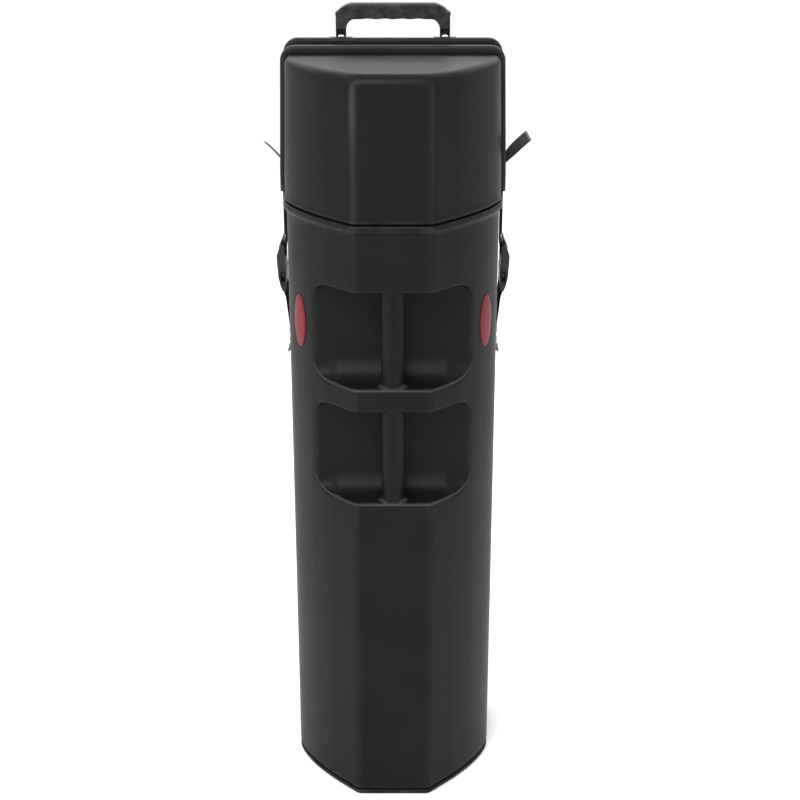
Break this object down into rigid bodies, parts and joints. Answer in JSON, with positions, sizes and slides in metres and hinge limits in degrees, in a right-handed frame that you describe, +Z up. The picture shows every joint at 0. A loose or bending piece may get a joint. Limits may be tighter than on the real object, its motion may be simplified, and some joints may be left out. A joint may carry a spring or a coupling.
{
  "type": "transport case",
  "caption": "Tall upright moulded case with a lift-off lid, grip recesses, over-lid strap with side-release buckles, folding pull handle and rear wheels.",
  "frame": {"origin": "on the flat base, under the middle of the body's plan outline", "axes": "+Z up along the case; -Y is the front, with the slanted facets and the grip recesses; +X is to the right seen from the front"},
  "size_m": [0.3788, 0.2835, 1.158],
  "materials": {
    "case_plastic": "satin black polyethylene with a fine moulded grain",
    "buckle_plastic": "semi-gloss black acetal",
    "webbing": "woven black polypropylene webbing",
    "foam": "charcoal closed-cell foam",
    "badge": "glossy red domed plastic",
    "steel": "zinc-plated steel",
    "tyre": "black polyurethane",
    "hub": "grey nylon"
  },
  "bodies": {
    "case": {"body_shell": "case_plastic", "grip_posts": "case_plastic", "base_pad": "foam", "badge_left": "badge", "badge_right": "badge", "female_buckle_left": "buckle_plastic", "female_buckle_right": "buckle_plastic", "anchor_strap_left": "webbing", "anchor_strap_right": "webbing", "strap_rivets": "steel", "rivet_washers": "steel", "wheel_housing_left": "case_plastic", "wheel_housing_right": "case_plastic", "housing_rivets": "steel", "axle_left": "steel", "axle_right": "steel", "axle_nuts": "steel"},
    "wheel_left": {"tyre_left": "tyre", "hub_left": "hub", "bearings_left": "steel"},
    "wheel_right": {"tyre_right": "tyre", "hub_right": "hub", "bearings_right": "steel"},
    "lid": {"lid_shell": "case_plastic", "lid_pad": "foam", "over_strap": "webbing", "male_buckle_left": "buckle_plastic", "male_buckle_right": "buckle_plastic", "strap_keeper_left": "buckle_plastic", "strap_keeper_right": "buckle_plastic", "keeper_screws": "steel", "handle_bracket_left": "case_plastic", "handle_bracket_right": "case_plastic", "hinge_pin_left": "steel", "hinge_pin_right": "steel", "bracket_screws": "steel", "bracket_nuts": "steel"},
    "handle": {"carry_handle": "case_plastic"},
    "arm_left_front": {"squeeze_arm_left_front": "buckle_plastic"},
    "arm_left_rear": {"squeeze_arm_left_rear": "buckle_plastic"},
    "arm_right_front": {"squeeze_arm_right_front": "buckle_plastic"},
    "arm_right_rear": {"squeeze_arm_right_rear": "buckle_plastic"}
  },
  "joints": [
    {"name": "lid_lift", "type": "slide", "parent": "case", "child": "lid", "axis": [0, 0, 1], "range_m": [0, 0.3]},
    {"name": "handle_fold", "type": "hinge", "parent": "lid", "child": "handle", "pos_m": [0, 0.119, 1.106], "axis": [-1, 0, 0], "range_deg": [0, 90]},
    {"name": "wheel_left_spin", "type": "hinge", "parent": "case", "child": "wheel_left", "pos_m": [-0.1, 0.113, 0.034], "axis": [1, 0, 0], "continuous": true},
    {"name": "wheel_right_spin", "type": "hinge", "parent": "case", "child": "wheel_right", "pos_m": [0.1, 0.113, 0.034], "axis": [1, 0, 0], "continuous": true},
    {"name": "squeeze_left_front", "type": "hinge", "parent": "lid", "child": "arm_left_front", "pos_m": [-0.1608, 0.0515, 0.786], "axis": [1, 0, 0], "range_deg": [0, 6], "stiffness_Nm_per_rad": 1},
    {"name": "squeeze_left_rear", "type": "hinge", "parent": "lid", "child": "arm_left_rear", "pos_m": [-0.1608, 0.0815, 0.786], "axis": [-1, 0, 0], "range_deg": [0, 6], "stiffness_Nm_per_rad": 1},
    {"name": "squeeze_right_front", "type": "hinge", "parent": "lid", "child": "arm_right_front", "pos_m": [0.1608, 0.0515, 0.786], "axis": [1, 0, 0], "range_deg": [0, 6], "stiffness_Nm_per_rad": 1},
    {"name": "squeeze_right_rear", "type": "hinge", "parent": "lid", "child": "arm_right_rear", "pos_m": [0.1608, 0.0815, 0.786], "axis": [-1, 0, 0], "range_deg": [0, 6], "stiffness_Nm_per_rad": 1}
  ]
}
